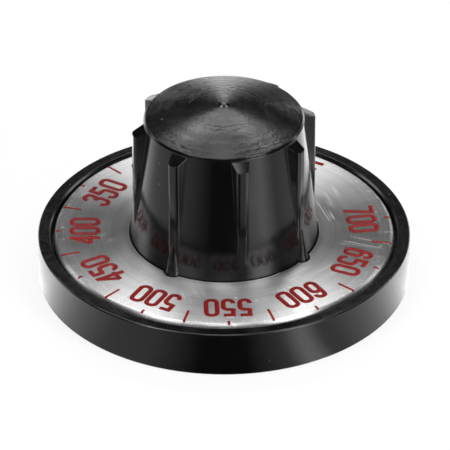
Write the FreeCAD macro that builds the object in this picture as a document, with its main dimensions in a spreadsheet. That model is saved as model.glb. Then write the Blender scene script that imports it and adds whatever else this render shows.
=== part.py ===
"""Skirted oven control knob: a one-piece moulded body, a pressed dial plate and a shaft spring.

The origin is on the shaft's axis, on the plane that the skirt's lower edge stands on, with +Z up the grip.
All sizes are in millimetres and degrees.
"""
import FreeCAD, Part
import os

import Sketcher
from FreeCAD import Placement, Rotation, Vector

SIZES = [
    # the skirt: a shallow hollow drum with a raised rim
    ("skirt_diameter", 63.5),
    ("skirt_height", 8.1),
    ("skirt_wall", 2.4),
    ("skirt_foot_bevel", 0.3),
    ("rim_width", 2.25),
    ("rim_outer_bevel", 0.18),
    ("rim_inner_bevel", 0.35),
    ("moat_depth", 1.7),
    ("deck_underside", 4.6),
    # the dial plate: sheet metal with its edge turned down over the deck
    ("plate_gap", 0.55),
    ("plate_thickness", 0.6),
    ("plate_rise", 0.15),
    ("plate_flange", 1.6),
    ("plate_inner_bend", 0.2),
    ("plate_clearance", 0.15),
    # the grip: a tapered core with a crowned top
    ("grip_base_diameter", 32.15),
    ("grip_top_diameter", 27.1),
    ("grip_height", 23.25),
    ("grip_wall", 2.8),
    ("crown_rise", 2.4),
    ("crown_bevel", 0.25),
    ("crown_wall", 3.3),
    ("nub_diameter", 1.9),
    ("nub_height", 0.25),
    ("nub_tip_diameter", 0.3),
    ("nub_root", 0.04),
    # the ribs on the grip, with a foot below every other one
    ("rib_count", 8),
    ("rib_turn_angle", 11.7),
    ("rib_set_in", 0.375),
    ("rib_nose_width", 1.85),
    ("rib_flank_angle", 16),
    ("rib_drop", 0.5),
    ("rib_top_slope", 25),
    ("rib_round", 0.65),
    ("lug_set_in", 0.575),
    ("lug_base_radius", 1.5),
    ("lug_height", 7.5),
    # the underside: a hub held by webs
    ("hub_diameter", 12.0),
    ("hub_mouth", 1.2),
    ("web_count", 4),
    ("web_angle", 15),
    # the shaft hole: a round lead-in, then a socket with a flat
    ("shaft_diameter", 6.35),
    ("shaft_across_flat", 4.76),
    ("lead_in_clearance", 0.225),
    ("lead_in_depth", 6.0),
    ("lead_in_chamfer", 0.4),
    ("socket_clearance", 0.05),
    ("socket_flat_clearance", 0.12),
    ("socket_depth", 12.0),
    # the leaf spring that bears on the shaft's flat
    ("spring_length", 8.2),
    ("spring_width", 3.9),
    ("spring_thickness", 0.35),
    ("spring_sag", 0.6),
    ("spring_clearance", 0.015),
    ("spring_set_back", 0.5),
    ("slot_clearance", 0.03),
]

# heights above the standing plane
RIM_TOP = "Sizes.skirt_height"
MOAT_FLOOR = "(Sizes.skirt_height - Sizes.moat_depth)"
PLATE_TOP = "(Sizes.skirt_height + Sizes.plate_rise)"
LAND_TOP = f"({PLATE_TOP} - Sizes.plate_thickness)"
FLANGE_FOOT = f"({PLATE_TOP} - Sizes.plate_flange)"
CROWN_EDGE = f"({LAND_TOP} + Sizes.grip_height)"
CROWN_TOP = f"({CROWN_EDGE} + Sizes.crown_rise)"
RIB_ROOT_TOP = f"({CROWN_EDGE} - Sizes.rib_drop)"
POCKET_ROOF = f"({CROWN_EDGE} - Sizes.crown_wall)"
LEAD_IN_END = "(Sizes.hub_mouth + Sizes.lead_in_depth)"
SPRING_FOOT = f"({LEAD_IN_END} + Sizes.spring_set_back)"

# distances from the shaft's axis
SKIRT_OUT = "(Sizes.skirt_diameter / 2)"
SKIRT_IN = f"({SKIRT_OUT} - Sizes.skirt_wall)"
RIM_IN = f"({SKIRT_OUT} - Sizes.rim_width)"
PLATE_OUT = f"({RIM_IN} - Sizes.plate_gap)"
FLANGE_IN = f"({PLATE_OUT} - Sizes.plate_thickness)"
LAND_OUT = f"({FLANGE_IN} - Sizes.plate_clearance)"
GRIP_BASE = "(Sizes.grip_base_diameter / 2)"
GRIP_TOP = "(Sizes.grip_top_diameter / 2)"
RIB_REACH = f"({GRIP_BASE} - Sizes.rib_set_in)"
LUG_SEAT = f"({GRIP_BASE} - Sizes.lug_set_in)"
PLATE_HOLE = f"({GRIP_BASE} + Sizes.plate_clearance)"
HUB = "(Sizes.hub_diameter / 2)"
POCKET_MOUTH = f"({GRIP_BASE} - Sizes.grip_wall)"
POCKET_TOP = f"({GRIP_TOP} - Sizes.grip_wall)"
SHAFT = "(Sizes.shaft_diameter / 2)"
LEAD_IN = f"({SHAFT} + Sizes.lead_in_clearance)"
SOCKET = f"({SHAFT} + Sizes.socket_clearance)"
SHAFT_FLAT = f"(Sizes.shaft_across_flat - {SHAFT})"
SOCKET_FLAT = f"({SHAFT_FLAT} + Sizes.socket_flat_clearance)"

# the ribs' flanks spread from the nose to this half width at the axis
RIB_HALF_NOSE = "(Sizes.rib_nose_width / 2)"
RIB_HALF_HEART = f"({RIB_HALF_NOSE} + {RIB_REACH} * tan(Sizes.rib_flank_angle))"
RIB_TRIM_REACH = f"({RIB_REACH} + {GRIP_TOP})"
RIB_TRIM_DROP = f"({RIB_ROOT_TOP} - {RIB_REACH} * tan(Sizes.rib_top_slope))"
RIB_STEP = "(360 / Sizes.rib_count)"
LUG_TURN = f"(Sizes.rib_turn_angle + {RIB_STEP})"
LUG_COUNT = "(Sizes.rib_count / 2)"

# the spring's bow: a leaf of constant thickness on an arc through its crown and its two ends
SPRING_CROWN = f"({SHAFT_FLAT} + Sizes.spring_clearance)"
SPRING_HALF = "(Sizes.spring_length / 2)"
SPRING_BOW = f"(({SPRING_HALF} ^ 2 + Sizes.spring_sag ^ 2) / (2 * Sizes.spring_sag))"
SPRING_BACK_BOW = f"({SPRING_BOW} - Sizes.spring_thickness)"
SPRING_CENTRE = f"({SPRING_CROWN} + {SPRING_BOW})"
SPRING_HEEL = f"({SPRING_CENTRE} - sqrt({SPRING_BACK_BOW} ^ 2 - {SPRING_HALF} ^ 2))"
SLOT_BACK = f"({SPRING_HEEL} + Sizes.slot_clearance)"
SLOT_HALF_WIDTH = "(Sizes.spring_width / 2 + Sizes.slot_clearance)"
SLOT_LENGTH = "(Sizes.spring_length + 2 * Sizes.spring_set_back)"

START, END, CENTRE = range(1, 4)
X_AXIS, Y_AXIS = range(-1, -3, -1)
ORIGIN_POINT = (X_AXIS, START)
NEAR = 1e-4

doc = FreeCAD.newDocument("oven_control_knob")
sheet = doc.addObject("Spreadsheet::Sheet", "Sizes")
for row, (name, size) in enumerate(SIZES, start=1):
    sheet.set(f"A{row}", name)
    sheet.set(f"B{row}", str(size))
    sheet.setAlias(f"B{row}", name)
doc.recompute()


def value(expression):
    """The number that an expression of the sheet's sizes gives."""
    return float(sheet.evalExpression(expression))


def origin_part(body, role):
    return next(part for part in body.Origin.OriginFeatures if part.Role == role)


def new_body(label):
    body = doc.addObject("PartDesign::Body", label)
    body.Label = label
    body.Placement = Placement()
    return body


def new_sketch(body, name, plane, lift="0", turn="0"):
    """An empty sketch on one of the body's planes, lifted off it and turned about its normal."""
    sketch = body.newObject("Sketcher::SketchObject", name)
    sketch.AttachmentSupport = [(origin_part(body, plane), "")]
    sketch.MapMode = "FlatFace"
    sketch.AttachmentOffset = Placement(Vector(), Rotation(Vector(0, 0, 1), value(turn)))
    sketch.setExpression("AttachmentOffset.Base.z", lift)
    if turn != "0":
        sketch.setExpression("AttachmentOffset.Rotation.Angle", turn)
    return sketch


def bind(sketch, kind, *members, to):
    """A dimension of a sketch that follows an expression of the sheet's sizes."""
    index = sketch.addConstraint(Sketcher.Constraint(kind, *members, value(to)))
    sketch.setExpression(f"Constraints[{index}]", to)


def pin(sketch, geometry, end, x, y):
    """Hold one end of a line or arc at a place given by two expressions; "0" puts it on an axis."""
    if x == "0":
        sketch.addConstraint(Sketcher.Constraint("PointOnObject", geometry, end, Y_AXIS))
    else:
        bind(sketch, "DistanceX", *ORIGIN_POINT, geometry, end, to=x)
    if y == "0":
        sketch.addConstraint(Sketcher.Constraint("PointOnObject", geometry, end, X_AXIS))
    else:
        bind(sketch, "DistanceY", *ORIGIN_POINT, geometry, end, to=y)


def close_loop(sketch, edges):
    """Join each edge's end to the next edge's start, and the last to the first."""
    for edge, following in zip(edges, edges[1:] + edges[:1]):
        sketch.addConstraint(Sketcher.Constraint("Coincident", edge, END, following, START))


def draw_outline(sketch, corners, crown=None):
    """A closed outline through corners given as pairs of expressions, counterclockwise.

    The edge that starts at the corner numbered crown is an arc, with its middle on the sketch's Y axis.
    """
    points = [Vector(value(x), value(y), 0) for x, y in corners]
    edges = []
    for number, start in enumerate(points):
        end = points[(number + 1) % len(points)]
        if number == crown:
            rise = end.y - start.y
            radius = (start.x ** 2 + rise ** 2) / (2 * rise)
            below = Vector(0, end.y - radius, 0)
            through = below + (start + end - below * 2).normalize() * radius
            edge = sketch.addGeometry(Part.Arc(start, through, end))
            sketch.addConstraint(Sketcher.Constraint("PointOnObject", edge, CENTRE, Y_AXIS))
        else:
            edge = sketch.addGeometry(Part.LineSegment(start, end))
        edges.append(edge)
    close_loop(sketch, edges)
    for edge, (x, y) in zip(edges, corners):
        pin(sketch, edge, START, x, y)


def draw_mirrored(sketch, corners):
    """A closed outline that is the same on both sides of the sketch's X axis, from its upper corners."""
    upper = [Vector(value(x), value(y), 0) for x, y in corners]
    lower = [Vector(point.x, -point.y, 0) for point in reversed(upper)]
    points = upper + lower
    edges = []
    for start, end in zip(points, points[1:] + points[:1]):
        edges.append(sketch.addGeometry(Part.LineSegment(start, end)))
    close_loop(sketch, edges)
    for number, (x, y) in enumerate(corners):
        twin = edges[len(points) - 1 - number]
        pin(sketch, edges[number], START, x, y)
        sketch.addConstraint(Sketcher.Constraint("Symmetric", edges[number], START, twin, START, X_AXIS))


def draw_circle(sketch, radius, x="0", y="0"):
    circle = sketch.addGeometry(Part.Circle(Vector(value(x), value(y), 0), Vector(0, 0, 1), value(radius)))
    pin(sketch, circle, CENTRE, x, y)
    bind(sketch, "Radius", circle, to=radius)


def draw_flatted_circle(sketch, radius, flat):
    """A circle about the sketch's origin, cut off by a flat at a given height above it."""
    reach, height = value(radius), value(flat)
    half = (reach ** 2 - height ** 2) ** 0.5
    right = Vector(half, height, 0)
    left = Vector(-half, height, 0)
    arc = sketch.addGeometry(Part.Arc(left, Vector(0, -reach, 0), right))
    line = sketch.addGeometry(Part.LineSegment(right, left))
    close_loop(sketch, [arc, line])
    sketch.addConstraint(Sketcher.Constraint("Coincident", arc, CENTRE, *ORIGIN_POINT))
    sketch.addConstraint(Sketcher.Constraint("Horizontal", line))
    bind(sketch, "Radius", arc, to=radius)
    bind(sketch, "DistanceY", *ORIGIN_POINT, line, START, to=flat)


def set_sizes(feature, sizes):
    for prop, expression in sizes.items():
        feature.setExpression(prop, expression)


def finish(feature):
    """Compute a feature and make sure that it has changed its body."""
    body = feature.getParentGeoFeatureGroup()
    body.Tip = feature
    doc.recompute()
    before = feature.BaseFeature
    old_volume = before.Shape.Volume if before else 0
    if abs(feature.Shape.Volume - old_volume) < NEAR:
        raise RuntimeError(f"{feature.Label} changes nothing")
    return feature


def pad(sketch, length):
    feature = sketch.getParentGeoFeatureGroup().newObject("PartDesign::Pad", f"{sketch.Label}_pad")
    feature.Profile = sketch
    set_sizes(feature, {"Length": length})
    return finish(feature)


def pocket(sketch, length):
    """Cut upwards from a sketch, along its normal."""
    feature = sketch.getParentGeoFeatureGroup().newObject("PartDesign::Pocket", f"{sketch.Label}_cut")
    feature.Profile = sketch
    feature.Reversed = True
    set_sizes(feature, {"Length": length})
    return finish(feature)


def turn_about_axis(sketch, kind, angle="360"):
    """Revolve a sketch's outline about the shaft's axis, to add or to cut, evenly to both sides."""
    feature = sketch.getParentGeoFeatureGroup().newObject(f"PartDesign::{kind}", f"{sketch.Label}_turned")
    feature.Profile = sketch
    feature.ReferenceAxis = (sketch, ["V_Axis"])
    feature.Midplane = True
    set_sizes(feature, {"Angle": angle})
    return finish(feature)


def repeat_about_axis(feature, count):
    """Copies of a feature, evenly spread about the shaft's axis."""
    body = feature.getParentGeoFeatureGroup()
    pattern = body.newObject("PartDesign::PolarPattern", f"{feature.Label}_ring")
    pattern.Originals = [feature]
    pattern.Axis = (origin_part(body, "Z_Axis"), [""])
    pattern.Angle = 360
    set_sizes(pattern, {"Occurrences": count})
    return finish(pattern)


def circles(shape, radius, height):
    """Names of the round edges about the axis that have this radius and height."""
    names = []
    for number, edge in enumerate(shape.Edges, start=1):
        if edge.Degenerated or not isinstance(edge.Curve, Part.Circle):
            continue
        centre = edge.Curve.Center
        on_axis = Vector(centre.x, centre.y, 0).Length < NEAR
        same_radius = abs(edge.Curve.Radius - value(radius)) < NEAR
        same_height = abs(centre.z - value(height)) < NEAR
        if on_axis and same_radius and same_height:
            names.append(f"Edge{number}")
    return names


def upright_edges(shape, radius):
    """Names of the straight edges along the axis that lie at this distance from it."""
    names = []
    for number, edge in enumerate(shape.Edges, start=1):
        first, last = edge.Vertexes[0].Point, edge.Vertexes[-1].Point
        upright = Vector(last.x - first.x, last.y - first.y, 0).Length < NEAR
        if upright and abs(Vector(first.x, first.y, 0).Length - radius) < NEAR:
            names.append(f"Edge{number}")
    return names


def dress(base, kind, size_name, size, edges):
    """Round or bevel the named edges of a feature."""
    body = base.getParentGeoFeatureGroup()
    feature = body.newObject(f"PartDesign::{kind}", f"{base.Label}_{kind.lower()}")
    feature.Base = (base, edges)
    set_sizes(feature, {size_name: size})
    return finish(feature)


def round_circle(base, radius, height, size):
    return dress(base, "Fillet", "Radius", size, circles(base.Shape, radius, height))


def bevel_circle(base, radius, height, size):
    return dress(base, "Chamfer", "Size", size, circles(base.Shape, radius, height))


def make_ribs(body):
    """The grip's ribs as a star of tapered bars, their tops sloping down to the nose."""
    section = new_sketch(body, "rib", "XY_Plane", lift=LAND_TOP, turn="Sizes.rib_turn_angle")
    draw_mirrored(section, [(RIB_REACH, RIB_HALF_NOSE), ("0", RIB_HALF_HEART)])
    star = repeat_about_axis(pad(section, f"{RIB_ROOT_TOP} - {LAND_TOP}"), "Sizes.rib_count")
    slope = new_sketch(body, "rib_top", "XZ_Plane")
    corners = [
        (GRIP_TOP, RIB_ROOT_TOP),
        (RIB_TRIM_REACH, RIB_TRIM_DROP),
        (RIB_TRIM_REACH, RIB_ROOT_TOP),
    ]
    draw_outline(slope, corners)
    sloped = turn_about_axis(slope, "Groove")
    nose = (value(RIB_REACH) ** 2 + value(RIB_HALF_NOSE) ** 2) ** 0.5
    return dress(sloped, "Fillet", "Radius", "Sizes.rib_round", upright_edges(sloped.Shape, nose))


def make_outer_form(body):
    """Skirt, rim, moat, land for the dial plate, tapered core and crowned top, turned in one outline."""
    form = new_sketch(body, "outer_form", "XZ_Plane")
    corners = [
        ("0", "0"),
        (SKIRT_OUT, "0"),
        (SKIRT_OUT, RIM_TOP),
        (RIM_IN, RIM_TOP),
        (RIM_IN, MOAT_FLOOR),
        (LAND_OUT, MOAT_FLOOR),
        (LAND_OUT, LAND_TOP),
        (GRIP_BASE, LAND_TOP),
        (GRIP_TOP, CROWN_EDGE),
        ("0", CROWN_TOP),
    ]
    draw_outline(form, corners, crown=corners.index((GRIP_TOP, CROWN_EDGE)))
    solid = turn_about_axis(form, "Revolution")
    solid = bevel_circle(solid, SKIRT_OUT, RIM_TOP, "Sizes.rim_outer_bevel")
    solid = bevel_circle(solid, RIM_IN, RIM_TOP, "Sizes.rim_inner_bevel")
    solid = bevel_circle(solid, SKIRT_OUT, "0", "Sizes.skirt_foot_bevel")
    solid = bevel_circle(solid, LAND_OUT, LAND_TOP, "Sizes.plate_inner_bend + Sizes.plate_clearance")
    return bevel_circle(solid, GRIP_TOP, CROWN_EDGE, "Sizes.crown_bevel")


def add_cone(body, name, sizes):
    """A cone that tapers upwards, at a place given with its sizes."""
    cone = body.newObject("PartDesign::AdditiveCone", name)
    cone.AttachmentSupport = [(origin_part(body, "XY_Plane"), "")]
    cone.MapMode = "FlatFace"
    cone.Radius2 = 0
    set_sizes(cone, sizes)
    return finish(cone)


def make_nub(body):
    """The low blunt point at the middle of the crown, with its foot sunk into it."""
    sizes = {
        "Radius1": "Sizes.nub_diameter / 2",
        "Radius2": "Sizes.nub_tip_diameter / 2",
        "Height": "Sizes.nub_root + Sizes.nub_height",
        "AttachmentOffset.Base.z": f"{CROWN_TOP} - Sizes.nub_root",
    }
    return add_cone(body, "nub", sizes)


def make_lugs(body):
    """A tapering foot below every other rib, standing on the land."""
    sizes = {
        "Radius1": "Sizes.lug_base_radius",
        "Height": "Sizes.lug_height",
        "AttachmentOffset.Base.x": f"{LUG_SEAT} * cos({LUG_TURN})",
        "AttachmentOffset.Base.y": f"{LUG_SEAT} * sin({LUG_TURN})",
        "AttachmentOffset.Base.z": LAND_TOP,
    }
    return repeat_about_axis(add_cone(body, "lug", sizes), LUG_COUNT)


def hollow_underside(body):
    """The hollow of the skirt, then the pockets between hub, webs and grip."""
    hollow = new_sketch(body, "skirt_hollow", "XZ_Plane")
    corners = [
        ("0", "0"),
        (SKIRT_IN, "0"),
        (SKIRT_IN, "Sizes.deck_underside"),
        (HUB, "Sizes.deck_underside"),
        (HUB, "Sizes.hub_mouth"),
        ("0", "Sizes.hub_mouth"),
    ]
    draw_outline(hollow, corners)
    turn_about_axis(hollow, "Groove")
    gap = new_sketch(body, "pocket", "XZ_Plane")
    corners = [
        (HUB, "Sizes.hub_mouth"),
        (POCKET_MOUTH, "Sizes.hub_mouth"),
        (POCKET_MOUTH, "Sizes.deck_underside"),
        (POCKET_TOP, POCKET_ROOF),
        (HUB, POCKET_ROOF),
    ]
    draw_outline(gap, corners)
    one = turn_about_axis(gap, "Groove", "360 / Sizes.web_count - Sizes.web_angle")
    return repeat_about_axis(one, "Sizes.web_count")


def bore_hub(body):
    """The shaft hole: a round lead-in, the flatted socket above it and the slot for the spring."""
    mouth = new_sketch(body, "lead_in", "XY_Plane", lift="Sizes.hub_mouth")
    draw_circle(mouth, LEAD_IN)
    pocket(mouth, "Sizes.lead_in_depth")
    socket = new_sketch(body, "socket", "XY_Plane", lift=LEAD_IN_END)
    draw_flatted_circle(socket, SOCKET, SOCKET_FLAT)
    pocket(socket, "Sizes.socket_depth")
    slot = new_sketch(body, "spring_slot", "XY_Plane", lift=LEAD_IN_END, turn="90")
    draw_mirrored(slot, [(SLOT_BACK, SLOT_HALF_WIDTH), ("0", SLOT_HALF_WIDTH)])
    slotted = pocket(slot, SLOT_LENGTH)
    return bevel_circle(slotted, LEAD_IN, "Sizes.hub_mouth", "Sizes.lead_in_chamfer")


def make_knob_body():
    body = new_body("knob_body")
    make_ribs(body)
    make_outer_form(body)
    make_nub(body)
    make_lugs(body)
    hollow_underside(body)
    bore_hub(body)
    return body


def make_dial_plate():
    """A disc with a hole for the grip, notches for the lugs and its edge turned down over the land."""
    body = new_body("dial_plate")
    section = new_sketch(body, "plate_section", "XZ_Plane")
    corners = [
        (PLATE_HOLE, LAND_TOP),
        (FLANGE_IN, LAND_TOP),
        (FLANGE_IN, FLANGE_FOOT),
        (PLATE_OUT, FLANGE_FOOT),
        (PLATE_OUT, PLATE_TOP),
        (PLATE_HOLE, PLATE_TOP),
    ]
    draw_outline(section, corners)
    disc = turn_about_axis(section, "Revolution")
    disc = round_circle(disc, PLATE_OUT, PLATE_TOP, "Sizes.plate_inner_bend + Sizes.plate_thickness")
    bevel_circle(disc, FLANGE_IN, LAND_TOP, "Sizes.plate_inner_bend")
    notch = new_sketch(body, "lug_notch", "XY_Plane", lift=LAND_TOP, turn=LUG_TURN)
    draw_circle(notch, "Sizes.lug_base_radius + Sizes.plate_clearance", x=LUG_SEAT)
    repeat_about_axis(pocket(notch, "Sizes.plate_thickness"), LUG_COUNT)
    return body


def make_shaft_spring():
    """A bowed leaf, its crown on the shaft's flat and its two ends on the back of the slot."""
    body = new_body("shaft_spring")
    bow = new_sketch(body, "spring_bow", "YZ_Plane")
    middle = Vector(value(SPRING_CENTRE), value(f"{SPRING_FOOT} + {SPRING_HALF}"), 0)
    half = value(SPRING_HALF)

    def bow_arc(radius):
        depth = (value(radius) ** 2 - half ** 2) ** 0.5
        upper = middle + Vector(-depth, half, 0)
        lower = middle + Vector(-depth, -half, 0)
        arc = bow.addGeometry(Part.Arc(upper, middle - Vector(value(radius), 0, 0), lower))
        bind(bow, "Radius", arc, to=radius)
        return arc, upper, lower

    face, face_upper, face_lower = bow_arc(SPRING_BOW)
    back, back_upper, back_lower = bow_arc(SPRING_BACK_BOW)
    foot = bow.addGeometry(Part.LineSegment(face_lower, back_lower))
    head = bow.addGeometry(Part.LineSegment(back_upper, face_upper))
    bow.addConstraint(Sketcher.Constraint("Coincident", face, END, foot, START))
    bow.addConstraint(Sketcher.Constraint("Coincident", foot, END, back, END))
    bow.addConstraint(Sketcher.Constraint("Coincident", back, START, head, START))
    bow.addConstraint(Sketcher.Constraint("Coincident", head, END, face, START))
    bow.addConstraint(Sketcher.Constraint("Coincident", face, CENTRE, back, CENTRE))
    bow.addConstraint(Sketcher.Constraint("Horizontal", foot))
    bow.addConstraint(Sketcher.Constraint("Horizontal", head))
    pin(bow, face, CENTRE, SPRING_CENTRE, f"{SPRING_FOOT} + {SPRING_HALF}")
    bind(bow, "DistanceY", *ORIGIN_POINT, foot, START, to=SPRING_FOOT)
    bind(bow, "DistanceY", *ORIGIN_POINT, head, START, to=f"{SPRING_FOOT} + Sizes.spring_length")
    leaf = body.newObject("PartDesign::Pad", "leaf")
    leaf.Profile = bow
    leaf.Midplane = True
    set_sizes(leaf, {"Length": "Sizes.spring_width"})
    finish(leaf)
    return body


bodies = [make_knob_body(), make_dial_plate(), make_shaft_spring()]
doc.recompute()

for item in doc.Objects:
    if {"Invalid", "Error"} & set(item.State):
        raise RuntimeError(f"{item.Label} failed: {item.State}")
for body in bodies:
    if body.Shape.isNull() or not body.Shape.isValid():
        raise RuntimeError(f"{body.Label} has no sound shape")

os.makedirs("parts", exist_ok=True)
for body in bodies:
    body.Shape.exportStep(f"parts/{body.Label}.step")
    print(body.Label, round(body.Shape.Volume, 2), "cubic millimetres")
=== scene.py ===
# %% [markdown]
# # Oven control knob
#
# The knob comes off a bench as three pieces: one black moulding (skirt, grip and hub), a pressed dial plate that is
# printed in red, and a small leaf spring in the shaft hole. Their solids are already modelled, so this lesson keeps
# them as they are, gives each a finish that follows its shape, prints the dial and lights it like a product shot.

import math

import bpy
from mathutils import Matrix, Vector


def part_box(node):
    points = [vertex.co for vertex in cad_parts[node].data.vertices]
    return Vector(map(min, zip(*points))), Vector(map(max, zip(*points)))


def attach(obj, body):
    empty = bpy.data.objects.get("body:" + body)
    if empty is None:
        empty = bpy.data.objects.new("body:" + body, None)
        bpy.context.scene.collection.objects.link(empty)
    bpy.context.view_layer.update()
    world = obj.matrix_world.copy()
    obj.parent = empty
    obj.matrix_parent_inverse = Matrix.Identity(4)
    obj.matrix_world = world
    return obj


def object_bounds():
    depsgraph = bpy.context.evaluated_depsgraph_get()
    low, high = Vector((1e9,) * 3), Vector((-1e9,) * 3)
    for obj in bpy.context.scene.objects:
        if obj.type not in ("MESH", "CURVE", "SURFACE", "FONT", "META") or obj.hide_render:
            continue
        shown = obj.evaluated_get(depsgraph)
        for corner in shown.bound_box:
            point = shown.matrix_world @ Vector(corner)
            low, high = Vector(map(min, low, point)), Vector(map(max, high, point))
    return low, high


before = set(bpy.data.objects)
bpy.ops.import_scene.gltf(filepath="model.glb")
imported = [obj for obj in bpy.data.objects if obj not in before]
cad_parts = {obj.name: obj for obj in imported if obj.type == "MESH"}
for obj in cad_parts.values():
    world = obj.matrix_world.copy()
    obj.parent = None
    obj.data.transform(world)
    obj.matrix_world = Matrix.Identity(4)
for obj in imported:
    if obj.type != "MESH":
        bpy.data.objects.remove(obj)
cad_low, cad_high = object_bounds()
scene = bpy.context.scene
scene.view_settings.view_transform = "Standard"
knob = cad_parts["knob_body"]
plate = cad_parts["dial_plate"]
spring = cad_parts["shaft_spring"]
MM = 0.001
print("pieces:", sorted(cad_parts), "size in mm:", [round(side / MM, 2) for side in cad_high - cad_low])

# %% [markdown]
# ## Measures from the frame
#
# Print and finish have to follow the solids, so their places are read from the frame's boxes instead of being typed
# again. Only what the boxes can't tell, such as the bend at the plate's edge, is a named size of its own.

# %% Measures
PLATE_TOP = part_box("dial_plate")[1].z
PLATE_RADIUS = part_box("dial_plate")[1].y
PLATE_BEND = 0.8 * MM
CROWN_EDGE = 30.9 * MM
NUB_FOOT = 33.28 * MM
SKIRT_RADIUS = cad_high.x
print("plate top at", round(PLATE_TOP / MM, 3), "mm, plate radius", round(PLATE_RADIUS / MM, 3), "mm")

# %% [markdown]
# ## Camera
#
# The picture is taken from far away with a long lens, so the circles look like clean ellipses. The camera looks down
# at the knob by a little more than a third of a right angle, straight from the front.

# %% Camera
IMAGE_SIDE = 450
FOCAL_PIXELS = 5275.05
SENSOR_WIDTH = 36.0
CAMERA_DISTANCE = 0.9
CAMERA_ELEVATION = math.radians(33.035)
CAMERA_TARGET = Vector((0.163, 0.0, 9.265)) * MM

camera_data = bpy.data.cameras.new("camera")
camera_data.sensor_width = SENSOR_WIDTH
camera_data.lens = FOCAL_PIXELS / IMAGE_SIDE * SENSOR_WIDTH
camera = bpy.data.objects.new("camera", camera_data)
scene.collection.objects.link(camera)
backward = Vector((0, -math.cos(CAMERA_ELEVATION), math.sin(CAMERA_ELEVATION)))
camera.location = CAMERA_TARGET + backward * CAMERA_DISTANCE
camera.rotation_euler = (-backward).to_track_quat("-Z", "Y").to_euler()
scene.camera = camera
print("lens", round(camera_data.lens, 1), "mm")

# %% [markdown]
# ## Helpers for node trees
#
# Materials and Geometry Nodes are both trees of nodes. One short function places a node, sets its options and fills
# its inputs, each with a plain value or with another node's output, so that a tree reads like a recipe. The others
# are the steps that come back again and again.


# %% Node helpers
def place(tree, kind, inputs=None, **options):
    """A new node in a tree; inputs maps socket names or numbers to values or to other nodes' outputs."""
    made = tree.nodes.new(kind)
    for option, setting in options.items():
        setattr(made, option, setting)
    for socket_name, value in (inputs or {}).items():
        if isinstance(value, bpy.types.NodeSocket):
            tree.links.new(value, made.inputs[socket_name])
        else:
            made.inputs[socket_name].default_value = value
    return made


def calculate(tree, operation, first, second=0.0):
    """One arithmetic step, as an output to link on."""
    return place(tree, "ShaderNodeMath", {0: first, 1: second}, operation=operation).outputs[0]


def vector_step(tree, operation, first, second=None):
    """One step with vectors, as an output to link on. To scale, the second value is a number."""
    sockets = {0: first}
    if second is not None:
        sockets["Scale" if operation == "SCALE" else 1] = second
    return place(tree, "ShaderNodeVectorMath", sockets, operation=operation).outputs[0]


def blend(tree, amount, first, second):
    """A mix of two numbers, as an output to link on."""
    return place(tree, "ShaderNodeMix", {0: amount, 2: first, 3: second}, data_type="FLOAT").outputs[0]


def blend_colour(tree, amount, first, second):
    """A mix of two colours, as an output to link on."""
    return place(tree, "ShaderNodeMix", {0: amount, 6: first, 7: second}, data_type="RGBA").outputs[2]


def ramp_between(tree, value, low, high, start=0.0, end=1.0):
    """Start below low, end above high, and a smooth change between them."""
    sockets = {0: value, 1: low, 2: high, 3: start, 4: end}
    return place(tree, "ShaderNodeMapRange", sockets, interpolation_type="SMOOTHSTEP").outputs[0]


# %% [markdown]
# ## Places and noises
#
# The knob is round, so a finish often needs to know how far a place is from the axis and how high it lies. Noises make
# a finish uneven. A noise seldom leaves its middle range, so that range is what gets spread between two values.

# %% Helpers for places and noises
NOISE_LOW, NOISE_HIGH = 0.3, 0.7


def height_of(tree, position):
    return place(tree, "ShaderNodeSeparateXYZ", {0: position}).outputs["Z"]


def from_axis(tree, position):
    """How far a position lies from the knob's axis, and the direction straight away from it."""
    axes = place(tree, "ShaderNodeSeparateXYZ", {0: position}).outputs
    flat = place(tree, "ShaderNodeCombineXYZ", {"X": axes["X"], "Y": axes["Y"]}).outputs[0]
    reach = place(tree, "ShaderNodeVectorMath", {0: flat}, operation="LENGTH").outputs["Value"]
    return reach, vector_step(tree, "NORMALIZE", flat)


def noise(tree, position, scale, detail):
    """A noise in space, as an output to link on."""
    return place(tree, "ShaderNodeTexNoise", {"Vector": position, "Scale": scale, "Detail": detail}).outputs[0]


def line_noise(tree, value, detail):
    """A noise of one number, as an output to link on."""
    sockets = {"W": value, "Scale": 1.0, "Detail": detail}
    return place(tree, "ShaderNodeTexNoise", sockets, noise_dimensions="1D").outputs[0]


def spread(tree, uneven, start, end):
    """The middle range of a noise, spread between two values."""
    return ramp_between(tree, uneven, NOISE_LOW, NOISE_HIGH, start, end)


def swayed(tree, position, scale, reach):
    """A position shifted to and fro by a noise, so that a pattern drawn on it wavers."""
    drift = place(tree, "ShaderNodeTexNoise", {"Vector": position, "Scale": scale, "Detail": 2.0}).outputs["Color"]
    shift = vector_step(tree, "SUBTRACT", drift, (0.5, 0.5, 0.5))
    return vector_step(tree, "ADD", position, vector_step(tree, "SCALE", shift, reach))


# %% [markdown]
# ## Materials and groups
#
# A material starts as an empty tree with an output, and a node group as an empty tree with named sockets. These two
# functions make them, and two more make a grey and fill a colour ramp.


# %% Helpers for materials and groups
def grey(level):
    return (level, level, level, 1.0)


def set_stops(stops, levels):
    """Fill a colour ramp, which starts with two stops, from pairs of a position and a grey level."""
    for number, (position, level) in enumerate(levels):
        stop = stops[number] if number < 2 else stops.new(position)
        stop.position = position
        stop.color = grey(level)


def new_material(name):
    """An empty material, its tree and its output node."""
    material = bpy.data.materials.new(name)
    material.use_nodes = True
    material.node_tree.nodes.clear()
    return material, material.node_tree, place(material.node_tree, "ShaderNodeOutputMaterial")


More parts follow.
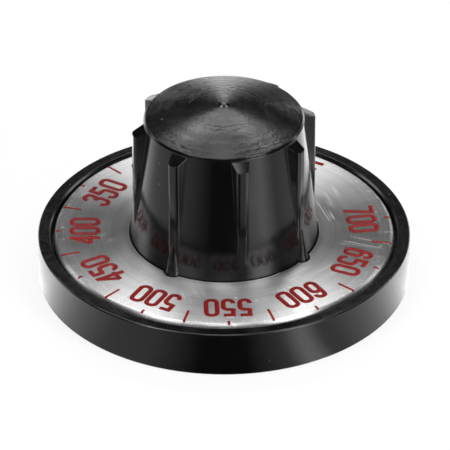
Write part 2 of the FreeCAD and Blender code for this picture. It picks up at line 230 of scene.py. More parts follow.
def new_group(name, inputs, outputs, kind="ShaderNodeTree"):
    """A node group with named sockets, with its input and output nodes."""
    group = bpy.data.node_groups.new(name, kind)
    for socket_name, socket_kind in inputs:
        group.interface.new_socket(socket_name, in_out="INPUT", socket_type=socket_kind)
    for socket_name, socket_kind in outputs:
        group.interface.new_socket(socket_name, in_out="OUTPUT", socket_type=socket_kind)
    return group, place(group, "NodeGroupInput"), place(group, "NodeGroupOutput")


FLOAT, VECTOR, GEOMETRY = "NodeSocketFloat", "NodeSocketVector", "NodeSocketGeometry"

# %% [markdown]
# ## Turned rings
#
# The crown of the grip and the dial plate were both finished while spinning, which leaves fine rings. The rings tilt
# the surface a little towards or away from the middle, and that is what spreads a lamp into a fan of light. Instead of
# a bump, which blurs when it is finer than a pixel, the group tilts the normal itself by a noise of the radius alone.
# A second, broader noise makes some bands of rings deeper than others.

# %% Shader group for turned rings
MIDDLE_OF_GROOVE = 0.46
BAND_PER_RING = 0.13
SHALLOW_BAND, DEEP_BAND = 0.8, 1.2

rings, given, result = new_group(
    "turned_rings",
    [("Position", VECTOR), ("Normal", VECTOR), ("Pitch", FLOAT), ("Slope", FLOAT)],
    [("Normal", VECTOR), ("Groove", FLOAT), ("Tone", FLOAT)],
)
radius, outward = from_axis(rings, given.outputs["Position"])
turns = calculate(rings, "DIVIDE", radius, given.outputs["Pitch"])
groove = line_noise(rings, turns, 2.0)
tone = line_noise(rings, calculate(rings, "MULTIPLY", turns, BAND_PER_RING), 3.0)
depth = ramp_between(rings, tone, 0.2, 0.8, SHALLOW_BAND, DEEP_BAND)
tilt = calculate(rings, "MULTIPLY", calculate(rings, "SUBTRACT", groove, MIDDLE_OF_GROOVE), depth)
tilt = calculate(rings, "MULTIPLY", tilt, given.outputs["Slope"])
lean = vector_step(rings, "SCALE", outward, tilt)
leaning = vector_step(rings, "NORMALIZE", vector_step(rings, "ADD", given.outputs["Normal"], lean))
for socket_name, made in (("Normal", leaning), ("Groove", groove), ("Tone", tone)):
    rings.links.new(made, result.inputs[socket_name])
print("group", rings.name, "with", len(rings.nodes), "nodes")

# %% [markdown]
# ## Handling marks
#
# A spare part from a shelf carries a little dust and a few hairline scratches. Both materials use the same group. Dust
# is a sparse set of small dots: each cell of a pattern has one, and a draw decides which are kept. Scratches are the
# peaks of a noise that is stretched into thin streaks, in three directions and only in a few patches.

# %% Shader group for dust and scratches
DOT_EDGE, DRAW_FOR_DUST = (0.05, 0.09), 0.72
SCRATCH_TURNS = [0.35, 1.25, 2.4]
SCRATCH_STRETCH = 45.0
HAIRLINE, SCRATCHED_PATCH = (0.66, 0.74), (0.63, 0.72)

marks, given, result = new_group(
    "handling_marks",
    [("Position", VECTOR), ("Dust spacing", FLOAT), ("Scratch length", FLOAT)],
    [("Dust", FLOAT), ("Scratches", FLOAT)],
)
position = given.outputs["Position"]
dust_scale = calculate(marks, "DIVIDE", 1.0, given.outputs["Dust spacing"])
cells = place(marks, "ShaderNodeTexVoronoi", {"Vector": position, "Scale": dust_scale}).outputs
dots = ramp_between(marks, cells["Distance"], *DOT_EDGE, 1.0, 0.0)
draw = place(marks, "ShaderNodeSeparateColor", {0: cells["Color"]}).outputs[0]
dust = calculate(marks, "MULTIPLY", dots, calculate(marks, "GREATER_THAN", draw, DRAW_FOR_DUST))
scratch_scale = calculate(marks, "DIVIDE", 1.0, given.outputs["Scratch length"])
scratches = 0.0
for turn in SCRATCH_TURNS:
    sockets = {"Vector": position, "Angle": turn}
    spun = place(marks, "ShaderNodeVectorRotate", sockets, rotation_type="Z_AXIS").outputs[0]
    drawn = place(marks, "ShaderNodeMapping", {"Vector": spun, "Scale": (1.0, SCRATCH_STRETCH, 1.0)}).outputs[0]
    hairline = ramp_between(marks, noise(marks, drawn, scratch_scale, 0.0), *HAIRLINE)
    patch = ramp_between(marks, noise(marks, spun, scratch_scale, 1.0), *SCRATCHED_PATCH)
    scratches = calculate(marks, "MAXIMUM", calculate(marks, "MULTIPLY", hairline, patch), scratches)
marks.links.new(dust, result.inputs["Dust"])
marks.links.new(scratches, result.inputs["Scratches"])
print("group", marks.name, "with", len(marks.nodes), "nodes")

# %% [markdown]
# ## Black moulding: the turned crown
#
# The body is a glossy black phenolic moulding, and its crown was faced off on a lathe. One material covers both: the
# height tells which finish applies. The ring group is used twice. Coarse rings that waver are the chatter of the tool,
# which looks like leather, and very fine ones are the grain that draws the fan of light. The nub in the middle is
# plain. The edges of such a moulding are never quite sharp, so a small bevel in the shading lets them catch a line of
# light.

# %% Normals of the black moulding
EDGE_SOFTNESS = 0.2 * MM
CHATTER_PITCH, CHATTER_SLOPE = 0.45 * MM, 0.5
CHATTER_SWAY_SCALE, CHATTER_SWAY = 750.0, 2.4 * MM
GRAIN_PITCH, GRAIN_SLOPE_AT_EDGE, GRAIN_SLOPE_INSIDE = 0.01 * MM, 1.6, 1.0
GRAIN_SWAY_SCALE, GRAIN_SWAY = 2200.0, 0.2 * MM
BLOTCH_SCALE, PEEL_SCALE = 420.0, 2400.0
PEEL_STRENGTH, PEEL_DEPTH, PEEL_ON_WALLS = 0.35, 0.08 * MM, 0.08

moulding, tree, output = new_material("black_moulding")
where = place(tree, "ShaderNodeTexCoord").outputs["Object"]
soft_edge = place(tree, "ShaderNodeBevel", {"Radius": EDGE_SOFTNESS}, samples=6).outputs[0]
height = height_of(tree, where)
on_crown = ramp_between(tree, height, CROWN_EDGE - 0.02 * MM, CROWN_EDGE + 0.12 * MM)
off_nub = ramp_between(tree, height, NUB_FOOT, NUB_FOOT + 0.01 * MM, 1.0, 0.0)
turned_here = calculate(tree, "MULTIPLY", on_crown, off_nub)

wavering = swayed(tree, where, CHATTER_SWAY_SCALE, CHATTER_SWAY)
chatter = calculate(tree, "MULTIPLY", turned_here, CHATTER_SLOPE)
sockets = {"Position": wavering, "Normal": soft_edge, "Pitch": CHATTER_PITCH, "Slope": chatter}
waved = place(tree, "ShaderNodeGroup", sockets, node_tree=rings).outputs["Normal"]

blotch = noise(tree, where, BLOTCH_SCALE, 4.0)
inner_zone = CROWN_EDGE + 0.9 * MM, CROWN_EDGE + 2.3 * MM
slope = ramp_between(tree, height, *inner_zone, GRAIN_SLOPE_AT_EDGE, GRAIN_SLOPE_INSIDE)
slope = calculate(tree, "MULTIPLY", slope, spread(tree, blotch, 0.75, 1.25))
slope = calculate(tree, "MULTIPLY", slope, turned_here)
grain = swayed(tree, where, GRAIN_SWAY_SCALE, GRAIN_SWAY)
sockets = {"Position": grain, "Normal": waved, "Pitch": GRAIN_PITCH, "Slope": slope}
turned = place(tree, "ShaderNodeGroup", sockets, node_tree=rings).outputs["Normal"]

peel = noise(tree, where, PEEL_SCALE, 3.0)
peel = calculate(tree, "MULTIPLY", peel, ramp_between(tree, turned_here, 0.0, 1.0, PEEL_ON_WALLS, 1.0))
sockets = {"Height": peel, "Strength": PEEL_STRENGTH, "Distance": PEEL_DEPTH, "Normal": turned}
ripple = place(tree, "ShaderNodeBump", sockets).outputs[0]
print("normals of", moulding.name, "with", len(tree.nodes), "nodes")

# %% [markdown]
# ## Black moulding: colour and gloss
#
# Black plastic is darker than it looks, because most of what reaches the eye is mirrored. The skirt and rim are a
# little duller than the grip, where the plate's mirror image can be made out.

# %% Colour and gloss of the black moulding
WALL_GREYS, FACED_GREYS, DUST_GREY = (0.0007, 0.0018), (0.002, 0.005), 0.3
WALL_ROUGHNESS, FACED_ROUGHNESS, NUB_ROUGHNESS = (0.17, 0.23), (0.17, 0.23), 0.12
GRIP_POLISH = 0.77
MOULDING_DUST_SPACING, MOULDING_SCRATCH_LENGTH = 2.6 * MM, 9.0 * MM
DUST_COVER = 0.25
FLOW_SCALE = 900.0

flow = noise(tree, where, FLOW_SCALE, 3.0)
walls = blend_colour(tree, flow, *map(grey, WALL_GREYS))
faced = blend_colour(tree, blotch, *map(grey, FACED_GREYS))
sockets = {"Position": where, "Dust spacing": MOULDING_DUST_SPACING, "Scratch length": MOULDING_SCRATCH_LENGTH}
dust = place(tree, "ShaderNodeGroup", sockets, node_tree=marks).outputs["Dust"]
skin = blend_colour(tree, on_crown, walls, faced)
skin = blend_colour(tree, calculate(tree, "MULTIPLY", dust, DUST_COVER), skin, grey(DUST_GREY))
polish = ramp_between(tree, height, PLATE_TOP + 0.2 * MM, PLATE_TOP + 1.0 * MM, 1.0, GRIP_POLISH)
gloss = calculate(tree, "MULTIPLY", spread(tree, flow, *WALL_ROUGHNESS), polish)
matt = spread(tree, blotch, *FACED_ROUGHNESS)
rough = blend(tree, off_nub, NUB_ROUGHNESS, blend(tree, on_crown, gloss, matt))
sockets = {"Base Color": skin, "Roughness": rough, "Normal": ripple, "IOR": 1.5}
surface = place(tree, "ShaderNodeBsdfPrincipled", sockets)
tree.links.new(surface.outputs[0], output.inputs["Surface"])
knob.data.materials[0] = moulding
print("material", moulding.name, "with", len(tree.nodes), "nodes")

# %% [markdown]
# ## Dial metal: a true round edge
#
# The plate's edge is rolled down in a small bend. The mesh of such a narrow bend has uneven normals, which would break
# its line of light. So the normal is worked out from the plate's profile: level on the flat, and on the bend straight
# away from the middle of its arc. Faces that look down or sideways keep their own normal.

# %% Normals of the dial plate
RING_PITCH, RING_SLOPE = 0.3 * MM, 0.03
LEAST_RISE = 0.02

metal, tree, output = new_material("dial_metal")
where = place(tree, "ShaderNodeTexCoord").outputs["Object"]
height = height_of(tree, where)
reach, outward = from_axis(tree, where)
past_rim = calculate(tree, "MAXIMUM", calculate(tree, "SUBTRACT", reach, PLATE_RADIUS - PLATE_BEND), 0.0)
over_rim = calculate(tree, "MAXIMUM", calculate(tree, "SUBTRACT", height, PLATE_TOP - PLATE_BEND), 0.0)
sideways = vector_step(tree, "SCALE", outward, past_rim)
upward = place(tree, "ShaderNodeCombineXYZ", {"Z": over_rim}).outputs[0]
true_round = vector_step(tree, "NORMALIZE", vector_step(tree, "ADD", sideways, upward))
own = place(tree, "ShaderNodeNewGeometry").outputs["Normal"]
outside = calculate(tree, "GREATER_THAN", height_of(tree, own), LEAST_RISE)
facing = place(tree, "ShaderNodeMix", {0: outside, 4: own, 5: true_round}, data_type="VECTOR").outputs[1]
sockets = {"Position": where, "Normal": facing, "Pitch": RING_PITCH, "Slope": RING_SLOPE}
turned = place(tree, "ShaderNodeGroup", sockets, node_tree=rings).outputs
print("normals of", metal.name, "with", len(tree.nodes), "nodes")

# %% [markdown]
# ## Dial metal: wear
#
# Dust and scratches come from the shared group. Towards its edge the plate was rubbed more, which leaves small specks.

# %% Wear of the dial plate
METAL_DUST_SPACING, METAL_SCRATCH_LENGTH = 2.7 * MM, 12.0 * MM
SPECK_SCALE, SPECK_EDGE = 1900.0, (0.6, 0.72)
RUBBED_ZONE = PLATE_RADIUS - 4.5 * MM, PLATE_RADIUS - 1.0 * MM
RUBBED_INSIDE, RUBBED_AT_EDGE = 0.05, 0.7

sockets = {"Position": where, "Dust spacing": METAL_DUST_SPACING, "Scratch length": METAL_SCRATCH_LENGTH}
wear = place(tree, "ShaderNodeGroup", sockets, node_tree=marks).outputs
specks = ramp_between(tree, noise(tree, where, SPECK_SCALE, 1.0), *SPECK_EDGE)
rubbed = ramp_between(tree, reach, *RUBBED_ZONE, RUBBED_INSIDE, RUBBED_AT_EDGE)
scratched = calculate(tree, "MAXIMUM", wear["Scratches"], wear["Dust"])
scratched = calculate(tree, "MAXIMUM", scratched, calculate(tree, "MULTIPLY", specks, rubbed))
print("wear of", metal.name, "with", len(tree.nodes), "nodes")

# %% [markdown]
# ## Dial metal: colour and shine
#
# The plate is aluminium sheet, spun to a satin finish. The rings run round the axis, so the shine is stretched across
# them: the shader's anisotropy does that evenly, and the ring group adds the single lines that can still be seen.

# %% Colour and shine of the dial plate
BRIGHT_GREYS, STAIN_GREY, SCRATCH_GREY = (0.56, 0.68), 0.5, 0.85
CLOUD_SCALE, CLOUDED = 260.0, (0.45, 0.75)
STAIN_COVER, FILM_COVER, SCRATCH_FILM = 0.25, 0.01, 0.25
SATIN_ROUGHNESS, SCRATCH_ROUGHNESS, BEND_ROUGHNESS = (0.35, 0.41), 0.55, 0.4
STRETCH_OF_SHINE, QUARTER_TURN = 0.9, 0.25

cloud = noise(tree, where, CLOUD_SCALE, 4.0)
lines = blend(tree, 0.5, turned["Groove"], turned["Tone"])
bright = blend_colour(tree, ramp_between(tree, lines, 0.35, 0.65), *map(grey, BRIGHT_GREYS))
stained = blend_colour(tree, ramp_between(tree, cloud, *CLOUDED, 0.0, STAIN_COVER), bright, grey(STAIN_GREY))
skin = blend_colour(tree, scratched, stained, grey(SCRATCH_GREY))
on_bend = ramp_between(tree, height, PLATE_TOP - 0.12 * MM, PLATE_TOP - 0.01 * MM, 1.0, 0.0)
rough = blend(tree, scratched, spread(tree, cloud, *SATIN_ROUGHNESS), SCRATCH_ROUGHNESS)
rough = blend(tree, on_bend, rough, BEND_ROUGHNESS)
film = ramp_between(tree, cloud, *CLOUDED, 0.0, FILM_COVER)
film = calculate(tree, "MAXIMUM", film, calculate(tree, "MULTIPLY", scratched, SCRATCH_FILM))
bare = calculate(tree, "SUBTRACT", 1.0, film)
sockets = {"Base Color": skin, "Roughness": rough, "Metallic": bare, "Normal": turned["Normal"]}
surface = place(tree, "ShaderNodeBsdfPrincipled", sockets)
surface.inputs["Anisotropic"].default_value = STRETCH_OF_SHINE
surface.inputs["Anisotropic Rotation"].default_value = QUARTER_TURN
round_axis = place(tree, "ShaderNodeTangent", direction_type="RADIAL", axis="Z")
tree.links.new(round_axis.outputs[0], surface.inputs["Tangent"])
tree.links.new(surface.outputs[0], output.inputs["Surface"])
plate.data.materials[0] = metal
print("material", metal.name, "with", len(tree.nodes), "nodes")

# %% [markdown]
# ## Spring steel
#
# The leaf in the shaft hole is blue-grey tempered strip, rolled along its length. Only the underside shows it.

# %% Spring steel
ROLLED_SCALE = (6000.0, 6000.0, 300.0)
DARK_STEEL, LIGHT_STEEL = (0.30, 0.31, 0.34, 1.0), (0.52, 0.53, 0.55, 1.0)
STEEL_ROUGHNESS = (0.22, 0.36)

steel, tree, output = new_material("spring_steel")
where = place(tree, "ShaderNodeTexCoord").outputs["Object"]
drawn = place(tree, "ShaderNodeMapping", {"Vector": where, "Scale": ROLLED_SCALE}).outputs[0]
grain = noise(tree, drawn, 1.0, 3.0)
skin = blend_colour(tree, grain, DARK_STEEL, LIGHT_STEEL)
rough = spread(tree, grain, *STEEL_ROUGHNESS)
surface = place(tree, "ShaderNodeBsdfPrincipled", {"Base Color": skin, "Roughness": rough, "Metallic": 1.0})
tree.links.new(surface.outputs[0], output.inputs["Surface"])
spring.data.materials[0] = steel
print("material", steel.name, "with", len(tree.nodes), "nodes")

# %% [markdown]
# ## Red print
#
# Figures and marks are a thick red screen ink. It is a little uneven, which a fine noise in its colour shows.

# %% Red print
DARK_RED, LIGHT_RED = (0.185, 0.010, 0.010, 1.0), (0.27, 0.015, 0.014, 1.0)
INK_SCALE, INK_ROUGHNESS, INK_SPECULAR = 1500.0, (0.28, 0.4), 0.1

ink, tree, output = new_material("red_print")
where = place(tree, "ShaderNodeTexCoord").outputs["Object"]
cover = noise(tree, where, INK_SCALE, 4.0)
skin = blend_colour(tree, spread(tree, cover, 0.0, 1.0), DARK_RED, LIGHT_RED)
rough = spread(tree, cover, *INK_ROUGHNESS)
sockets = {"Base Color": skin, "Roughness": rough, "Specular IOR Level": INK_SPECULAR}
surface = place(tree, "ShaderNodeBsdfPrincipled", sockets)
tree.links.new(surface.outputs[0], output.inputs["Surface"])
print("material", ink.name, "with", len(tree.nodes), "nodes")

# %% [markdown]
# ## The scale
#
# The dial is graduated in steps of 25. A named place on the scale is an angle from the front, positive to the right
# seen from the front, which is counterclockwise from above. The steps are a little wider at the hot end.

# %% Angles of the scale
SCALE_STEP = 25
COOL_MARK, COOL_ANGLE, COOL_PITCH = 300, -150.3, 15.2
BEND_MARK, HOT_PITCH = 575, 16.27
HOT_MARK = 700


def scale_angle(mark):
    """Where a mark of the scale stands, in degrees from the front."""
    cool_steps = (min(mark, BEND_MARK) - COOL_MARK) / SCALE_STEP
    hot_steps = max(mark - BEND_MARK, 0) / SCALE_STEP
    return COOL_ANGLE + cool_steps * COOL_PITCH + hot_steps * HOT_PITCH


def has_figure(mark):
    """Every second mark carries a figure."""
    return mark % (2 * SCALE_STEP) == 0


scale_marks = range(COOL_MARK, HOT_MARK + 1, SCALE_STEP)
print({mark: round(scale_angle(mark), 1) for mark in scale_marks})

# %% [markdown]
# ## Print by Geometry Nodes
#
# Each stroke of a figure and each tick is a band of ink that follows a path, so one tree makes them all: it sets a
# path down at every place it is given, rounds the corners, and sweeps a thin flat section along it. The places are
# points with their turn stored as an attribute.

# %% Tree for bands of ink
CORNER_STEPS = 8

bands, given, result = new_group(
    "ink_bands",
    [
        ("Geometry", GEOMETRY),
        ("Paths", "NodeSocketCollection"),
        ("Width", FLOAT),
        ("Thickness", FLOAT),
        ("Corner radius", FLOAT),
        ("Ink", "NodeSocketMaterial"),
    ],
    [("Geometry", GEOMETRY)],
    "GeometryNodeTree",
)
paths = place(
    bands,
    "GeometryNodeCollectionInfo",
    {"Collection": given.outputs["Paths"], "Separate Children": True, "Reset Children": True},
)
path_number = place(bands, "GeometryNodeInputNamedAttribute", {"Name": "path"}, data_type="INT")
turn = place(bands, "GeometryNodeInputNamedAttribute", {"Name": "turn"}, data_type="FLOAT")
facing = place(bands, "ShaderNodeCombineXYZ", {"Z": turn.outputs[0]})
set_down = place(
    bands,
    "GeometryNodeInstanceOnPoints",
    {
        "Points": given.outputs["Geometry"],
        "Instance": paths.outputs[0],
        "Pick Instance": True,
        "Instance Index": path_number.outputs[0],
        "Rotation": facing.outputs[0],
    },
)
loose = place(bands, "GeometryNodeRealizeInstances", {"Geometry": set_down.outputs[0]})
corner_radius = given.outputs["Corner radius"]
rounded = place(
    bands,
    "GeometryNodeFilletCurve",
    {"Curve": loose.outputs[0], "Radius": corner_radius, "Limit Radius": True, "Count": CORNER_STEPS},
    mode="POLY",
)
upright = place(bands, "GeometryNodeSetCurveNormal", {"Curve": rounded.outputs[0]}, mode="Z_UP")
section = place(
    bands,
    "GeometryNodeCurvePrimitiveQuadrilateral",
    {"Width": given.outputs["Width"], "Height": given.outputs["Thickness"]},
)
swept = place(
    bands,
    "GeometryNodeCurveToMesh",
    {"Curve": upright.outputs[0], "Profile Curve": section.outputs[0], "Fill Caps": True},
)
inked = place(bands, "GeometryNodeSetMaterial", {"Geometry": swept.outputs[0], "Material": given.outputs["Ink"]})
bands.links.new(inked.outputs[0], result.inputs[0])
print("tree", bands.name, "with", len(bands.nodes), "nodes")

# %% [markdown]
# ## From paths to print
#
# Two functions run the tree. One turns drawn strokes into curves; strokes that cross lie a hair above each other, so
# that their faces don't share a plane. The other runs the tree and keeps its result as a piece of the knob.

# %% Helpers that run the tree
PRINT_THICKNESS, STROKE_LIFT = 0.03 * MM, 0.006 * MM


def path_collection(name, drawings):
    """A collection of curve objects, one for each drawing: a list of strokes as (points, closed)."""
    collection = bpy.data.collections.new(name)
    for number, strokes in enumerate(drawings):
        curve = bpy.data.curves.new(f"{name}_{number:02d}", "CURVE")
        curve.dimensions = "3D"
        for layer, (points, closed) in enumerate(strokes):
            spline = curve.splines.new("POLY")
            spline.points.add(len(points) - 1)
            for spline_point, place_mm in zip(spline.points, points):
                lifted = Vector(place_mm) * MM + Vector((0, 0, layer * STROKE_LIFT))
                spline_point.co = (*lifted, 1.0)
            spline.use_cyclic_u = closed
        collection.objects.link(bpy.data.objects.new(curve.name, curve))
    return collection


def print_bands(name, places, paths, width, corner_radius):
    """Make a piece of print; places are (position, turn, path number)."""
    points = bpy.data.meshes.new(f"{name}_places")
    points.from_pydata([position for position, _, _ in places], [], [])
    points.attributes.new("turn", "FLOAT", "POINT").data.foreach_set("value", [turn for _, turn, _ in places])
    points.attributes.new("path", "INT", "POINT").data.foreach_set("value", [path for _, _, path in places])
    holder = bpy.data.objects.new(f"{name}_places", points)
    scene.collection.objects.link(holder)
    modifier = holder.modifiers.new("ink", "NODES")
    modifier.node_group = bands
    wanted = {
        "Paths": paths,
        "Width": width,
        "Thickness": PRINT_THICKNESS,
        "Corner radius": corner_radius,
        "Ink": ink,
    }
    for item in bands.interface.items_tree:
        if item.name in wanted and item.in_out == "INPUT":
            modifier[item.identifier] = wanted[item.name]
    evaluated = holder.evaluated_get(bpy.context.evaluated_depsgraph_get())
    piece = bpy.data.objects.new(name, bpy.data.meshes.new_from_object(evaluated))
    piece.data.name = name
    scene.collection.objects.link(piece)
    bpy.data.objects.remove(holder)
    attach(piece, "root")
    print(name, "has", len(piece.data.polygons), "faces in", [m.name for m in piece.data.materials])


# %% [markdown]
# ## Figures
#
# The figures are narrow and drawn with a pen of one width, so each is a short list of strokes between a few named
# lines: left, right, top, waist and bottom. Their corners are rounded by the tree. They stand with their tops outwards.

# %% Strokes of the figures
FIGURE_HEIGHT, FIGURE_PITCH, PEN = 5.3, 2.78, 0.82
SIDE, WIDE, TALL = 0.82, 0.91, (FIGURE_HEIGHT - PEN) / 2
WAIST, HOOK, TOE = 0.6, 1.25, FIGURE_HEIGHT / 2
CORNER = SIDE + PEN / 2


def stroke(*points, closed=False):
    return [(x, y, 0.0) for x, y in points], closed


RING = [stroke((-WIDE, TALL), (WIDE, TALL), (WIDE, -TALL), (-WIDE, -TALL), closed=True)]
STROKES = {
    "0": RING,
    "3": [
        stroke((-SIDE, HOOK), (-SIDE, TALL), (SIDE, TALL), (SIDE, 0.25), (-0.2, 0.25)),
        stroke((-0.2, 0.25), (SIDE, 0.25), (SIDE, -TALL), (-SIDE, -TALL), (-SIDE, -HOOK)),
    ],
    "4": [
        stroke((0.5, TALL), (-1.02, -1.0)),
        stroke((-CORNER, -1.0), (CORNER, -1.0)),
        stroke((0.55, TOE), (0.55, -TOE)),
    ],
    "5": [
        stroke((-CORNER, TALL), (SIDE, TALL)),
        stroke((-SIDE, TALL), (-SIDE, 0.3)),
        stroke((-SIDE, WAIST), (SIDE, WAIST), (SIDE, -TALL), (-SIDE, -TALL), (-SIDE, -HOOK)),
    ],
    "6": [
        stroke((SIDE, HOOK), (SIDE, TALL), (-SIDE, TALL), (-SIDE, -HOOK)),
        stroke((-SIDE, WAIST), (SIDE, WAIST), (SIDE, -TALL), (-SIDE, -TALL), closed=True),
    ],
    "7": [stroke((-CORNER, TALL), (CORNER, TALL)), stroke((0.85, TALL), (-0.1, -TOE))],
    "F": [
        stroke((-SIDE, -TOE), (-SIDE, TOE)),
        stroke((-SIDE, TALL), (1.0, TALL)),
        stroke((-SIDE, 0.2), (0.7, 0.2)),
    ],
    "O": RING,
}
figure_names = sorted(STROKES)
figure_paths = path_collection("figure", [STROKES[name] for name in figure_names])
print("figures drawn:", figure_names)

# %% [markdown]
# ## Figures on the dial
#
# The figures of a number stand side by side on a straight line across the radius, at the angle of their mark. The word
# for the rest position is set a little further out, behind the grip.

# %% Set the figures on the dial
FIGURE_RADIUS, OFF_RADIUS = 23.75 * MM, 24.5 * MM
OFF_ANGLE = 148.2


def figure_places(word, angle, reach):
    """Places of a word's figures on a straight line across the radius at an angle from the front."""
    turn = math.radians(angle)
    outwards = Vector((math.sin(turn), -math.cos(turn), 0))
    along = Vector((-math.cos(turn), -math.sin(turn), 0))
    places = []
    for number, name in enumerate(word):
        shift = (number - (len(word) - 1) / 2) * FIGURE_PITCH * MM
        spot = outwards * reach + along * shift + Vector((0, 0, PLATE_TOP))
        places.append((spot, turn + math.pi, figure_names.index(name)))
    return places


places = figure_places("OFF", OFF_ANGLE, OFF_RADIUS)
for mark in filter(has_figure, scale_marks):
    places += figure_places(str(mark), scale_angle(mark), FIGURE_RADIUS)
print_bands("dial_figures", places, figure_paths, PEN * MM, SIDE * MM)

# %% [markdown]
# ## Ticks
#
# A tick is a straight band from the flat of the dial out to its edge and part of the way over the bend, so its path is
# the plate's own profile. Long ticks stand between the figures and short ones at them.

# %% Ticks
TICK_WIDTH = 0.45
LONG_TICK_START, SHORT_TICK_START = 25.3, 27.75
BEND_STEPS, BEND_SHARE = 3, 0.45


def tick_path(start):
    """The plate's profile from a start radius over the bend, in millimetres, along -Y and up Z."""
    bend = PLATE_BEND / MM
    rim = PLATE_RADIUS / MM - bend
    points = [(0.0, -start, 0.0)]
    for step in range(BEND_STEPS + 1):
        lean = math.pi / 2 * BEND_SHARE * step / BEND_STEPS
        points.append((0.0, -rim - bend * math.sin(lean), bend * (math.cos(lean) - 1)))
    return [(points, False)]


tick_paths = path_collection("tick", [tick_path(LONG_TICK_START), tick_path(SHORT_TICK_START)])
middle = Vector((0, 0, PLATE_TOP))
places = [(middle, math.radians(scale_angle(mark)), int(has_figure(mark))) for mark in scale_marks]
print_bands("dial_ticks", places, tick_paths, TICK_WIDTH * MM, 0.0)

# %% [markdown]
# ## Floor
#
# The floor is plain white board that still takes the knob's soft shadow. The camera and mirrored rays see it glow, so
# that it comes out white, while it lights the knob only as a board would. From below it is clear.

# %% Floor
FLOOR_RADIUS, FLOOR_STEPS, FLOOR_DROP = 1.2, 64, 0.02 * MM
BOARD_GREY, GLOW_SHARE = 0.9, 0.85


def circle(reach, steps, height):
    """Points round the knob's axis, counterclockwise from the front."""
    turns = [step * math.tau / steps for step in range(steps)]
    return [(reach * math.sin(turn), -reach * math.cos(turn), height) for turn in turns]


floor_mesh = bpy.data.meshes.new("floor")
floor_mesh.from_pydata(circle(FLOOR_RADIUS, FLOOR_STEPS, -FLOOR_DROP), [], [list(range(FLOOR_STEPS))])
floor = bpy.data.objects.new("floor", floor_mesh)
scene.collection.objects.link(floor)
board, tree, output = new_material("floor_board")
paper = place(tree, "ShaderNodeBsdfDiffuse", {"Color": grey(BOARD_GREY)})
glow = place(tree, "ShaderNodeEmission", {"Color": grey(1.0), "Strength": 1.0})
mixed = place(tree, "ShaderNodeMixShader", {0: GLOW_SHARE, 1: paper.outputs[0], 2: glow.outputs[0]})
ray = place(tree, "ShaderNodeLightPath").outputs
seen = calculate(tree, "ADD", ray["Is Camera Ray"], ray["Is Glossy Ray"])
seen = calculate(tree, "ADD", seen, ray["Is Transmission Ray"])
lit = place(tree, "ShaderNodeMixShader", {0: seen, 1: paper.outputs[0], 2: mixed.outputs[0]})
below = place(tree, "ShaderNodeNewGeometry").outputs["Backfacing"]
clear = place(tree, "ShaderNodeBsdfTransparent")
either = place(tree, "ShaderNodeMixShader", {0: below, 1: lit.outputs[0], 2: clear.outputs[0]})
tree.links.new(either.outputs[0], output.inputs["Surface"])
floor_mesh.materials.append(board)
print("floor of radius", FLOOR_RADIUS, "m")

# %% [markdown]
# ## Room
#
# The room is dim, because the gloss of the knob comes from lamps in a dark studio. Only below the horizon and in a thin
# band above it is it white like the floor, so that no edge shows where the floor ends.

# %% Room
ROOM_LEVELS = [(-1.0, 1.0), (0.0, 1.0), (0.03, 0.04), (1.0, 0.04)]

world = bpy.data.worlds.new("room")
scene.world = world
world.use_nodes = True
tree = world.node_tree
tree.nodes.clear()
direction = place(tree, "ShaderNodeTexCoord").outputs["Generated"]
rise = place(tree, "ShaderNodeMapRange", {0: height_of(tree, direction), 1: -1.0, 2: 1.0}).outputs[0]
shade = place(tree, "ShaderNodeValToRGB", {0: rise})
set_stops(shade.color_ramp.elements, [((rising + 1) / 2, level) for rising, level in ROOM_LEVELS])
sky = place(tree, "ShaderNodeBackground", {"Color": shade.outputs[0], "Strength": 1.0})
place(tree, "ShaderNodeOutputWorld", {0: sky.outputs[0]})
print("room levels:", ROOM_LEVELS)

# %% [markdown]
# ## Cards round the knob
#
# Black gloss shows nothing but what it mirrors. On a product table, white boards at the sides and behind brighten the
# walls, and a black flag below the lens keeps the front dark. Two rings on the floor stand for these cards: the skirt
# mirrors the near one and the grip the far one. Both sides are alike, apart from one bright board at the right front.
# Only reflections see the rings, so the floor in the picture stays plain.

# %% Cards
NEAR_CARDS = [(8, 0.04), (26, 0.6), (42, 0.6), (60, 1.2), (80, 2.5), (100, 1.6), (180, 1.2)]
NEAR_RIGHT_BOARD = [(22, 0.6), (28, 2.0), (31, 2.0), (37, 0.6)]
FAR_FRONT = [(14, 0.05), (45, 0.6), (95, 0.7)]
FAR_BACK = [(120, 1.8), (133, 2.4), (146, 2.4), (158, 0.2), (171, 0.15), (176, 1.2), (180, 1.8)]
FAR_RIGHT_BOARD = [(8, 0.05), (45, 1.8), (62, 0.6)]
NEAR_START, FAR_START, FAR_END = SKIRT_RADIUS - 0.25 * MM, 48 * MM, 0.7
CARD_STEPS, CARD_HEIGHT = 96, 0.02 * MM
BRIGHTEST = 3.0
UNSEEN_BY = ("camera", "diffuse", "transmission", "volume_scatter", "shadow")


def all_round(cards, right_board):
    """Levels by the angle from the front, mirrored to the left, with one board put in on the right."""
    first, last = right_board[0][0], right_board[-1][0]
    left = [(-angle, level) for angle, level in reversed(cards)]
    right = [(angle, level) for angle, level in cards if not first <= angle <= last]
    return left + sorted(right + right_board)


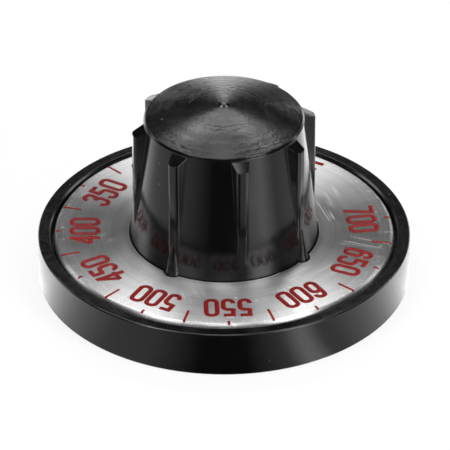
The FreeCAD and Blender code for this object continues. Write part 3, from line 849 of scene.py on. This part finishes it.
def card_ring(name, start, end, levels):
    """A flat ring on the floor that only reflections see, its light set by the angle from the front."""
    points = circle(start, CARD_STEPS, CARD_HEIGHT) + circle(end, CARD_STEPS, CARD_HEIGHT)
    mesh = bpy.data.meshes.new(name)
    following = [(step + 1) % CARD_STEPS for step in range(CARD_STEPS)]
    mesh.from_pydata(points, [], [(s, CARD_STEPS + s, CARD_STEPS + f, f) for s, f in enumerate(following)])
    cards = bpy.data.objects.new(name, mesh)
    scene.collection.objects.link(cards)
    for sight in UNSEEN_BY:
        setattr(cards, f"visible_{sight}", False)
    card, tree, output = new_material(name)
    sockets = {"Vector": place(tree, "ShaderNodeTexCoord").outputs["Object"], "Angle": math.pi / 2}
    quarter = place(tree, "ShaderNodeVectorRotate", sockets, rotation_type="Z_AXIS").outputs[0]
    azimuth = place(tree, "ShaderNodeTexGradient", {0: quarter}, gradient_type="RADIAL").outputs["Fac"]
    shade = place(tree, "ShaderNodeValToRGB", {0: azimuth})
    set_stops(shade.color_ramp.elements, [((angle + 180) / 360, level / BRIGHTEST) for angle, level in levels])
    glow = place(tree, "ShaderNodeEmission", {"Color": shade.outputs[0], "Strength": BRIGHTEST})
    tree.links.new(glow.outputs[0], output.inputs["Surface"])
    mesh.materials.append(card)
    print(name, "with", len(levels), "levels")


card_ring("near_cards", NEAR_START, FAR_START, all_round(NEAR_CARDS, NEAR_RIGHT_BOARD))
card_ring("far_cards", FAR_START, FAR_END, all_round(FAR_FRONT + FAR_BACK, FAR_RIGHT_BOARD))

# %% [markdown]
# ## Softboxes
#
# The turned crown answers each lamp with one arm of its fan, and so does the spun plate lower down. So the lamps hang
# where the arms should be: above, behind and in front. Small and low ones at the back catch the ends of the ribs, two
# stand at the sides, and a tall one at the right front lights the edges. Each faces the knob, and its size and how
# bright it looks decide its power.

# %% Softboxes
LAMP_AIM = Vector((0, 0, 15 * MM))
LAMPS = {
    # name: (direction from the knob, distance, width and depth, radiance)
    "top_lamp": ((-0.02, 0.0, 1.0), 0.5, (0.16, 0.16), 3.6),
    "back_lamp": ((0.0, 0.6, 0.8), 0.5, (0.145, 0.16), 5.4),
    "back_left_lamp": ((-0.255, 0.51, 0.822), 0.4, (0.092, 0.1), 7.4),
    "back_right_lamp": ((0.25, 0.508, 0.825), 0.4, (0.092, 0.1), 6.9),
    "back_strip_lamp": ((0.0, 0.97, 0.25), 0.5, (0.04, 0.2), 2.4),
    "right_corner_lamp": ((0.351, 0.915, 0.199), 0.5, (0.034, 0.034), 4.2),
    "left_corner_lamp": ((-0.228, 0.974, 0.006), 0.6, (0.05, 0.026), 4.0),
    "low_left_lamp": ((-0.54, 0.83, 0.08), 0.6, (0.2, 0.1), 1.0),
    "low_right_lamp": ((0.54, 0.83, 0.08), 0.6, (0.2, 0.1), 2.6),
    "left_side_lamp": ((-0.82, 0.365, 0.44), 0.5, (0.16, 0.16), 3.2),
    "right_side_lamp": ((0.82, 0.365, 0.44), 0.5, (0.16, 0.16), 3.2),
    "front_lamp": ((0.0, -0.45, 0.893), 0.5, (0.16, 0.16), 4.8),
    "front_left_lamp": ((-0.45, -0.35, 0.822), 0.5, (0.16, 0.16), 8.6),
    "front_right_lamp": ((0.45, -0.35, 0.822), 0.5, (0.16, 0.16), 7.0),
    "side_lamp": ((0.672, -0.672, 0.309), 0.5, (0.2, 0.28), 7.8),
}


def softbox(name, direction, distance, size, radiance):
    """An area lamp that faces the knob, its width along X as far as that can be."""
    data = bpy.data.lights.new(name, "AREA")
    data.shape = "RECTANGLE"
    data.size, data.size_y = size
    data.energy = radiance * math.pi * data.size * data.size_y
    lamp = bpy.data.objects.new(name, data)
    scene.collection.objects.link(lamp)
    away = Vector(direction).normalized()
    across = (Vector((1, 0, 0)) - away * away.x).normalized()
    facing = Matrix((across, away.cross(across), away)).transposed()
    lamp.matrix_world = Matrix.LocRotScale(away * distance + LAMP_AIM, facing.to_quaternion(), None)


for name, settings in LAMPS.items():
    softbox(name, *settings)
print(len(LAMPS), "lamps")
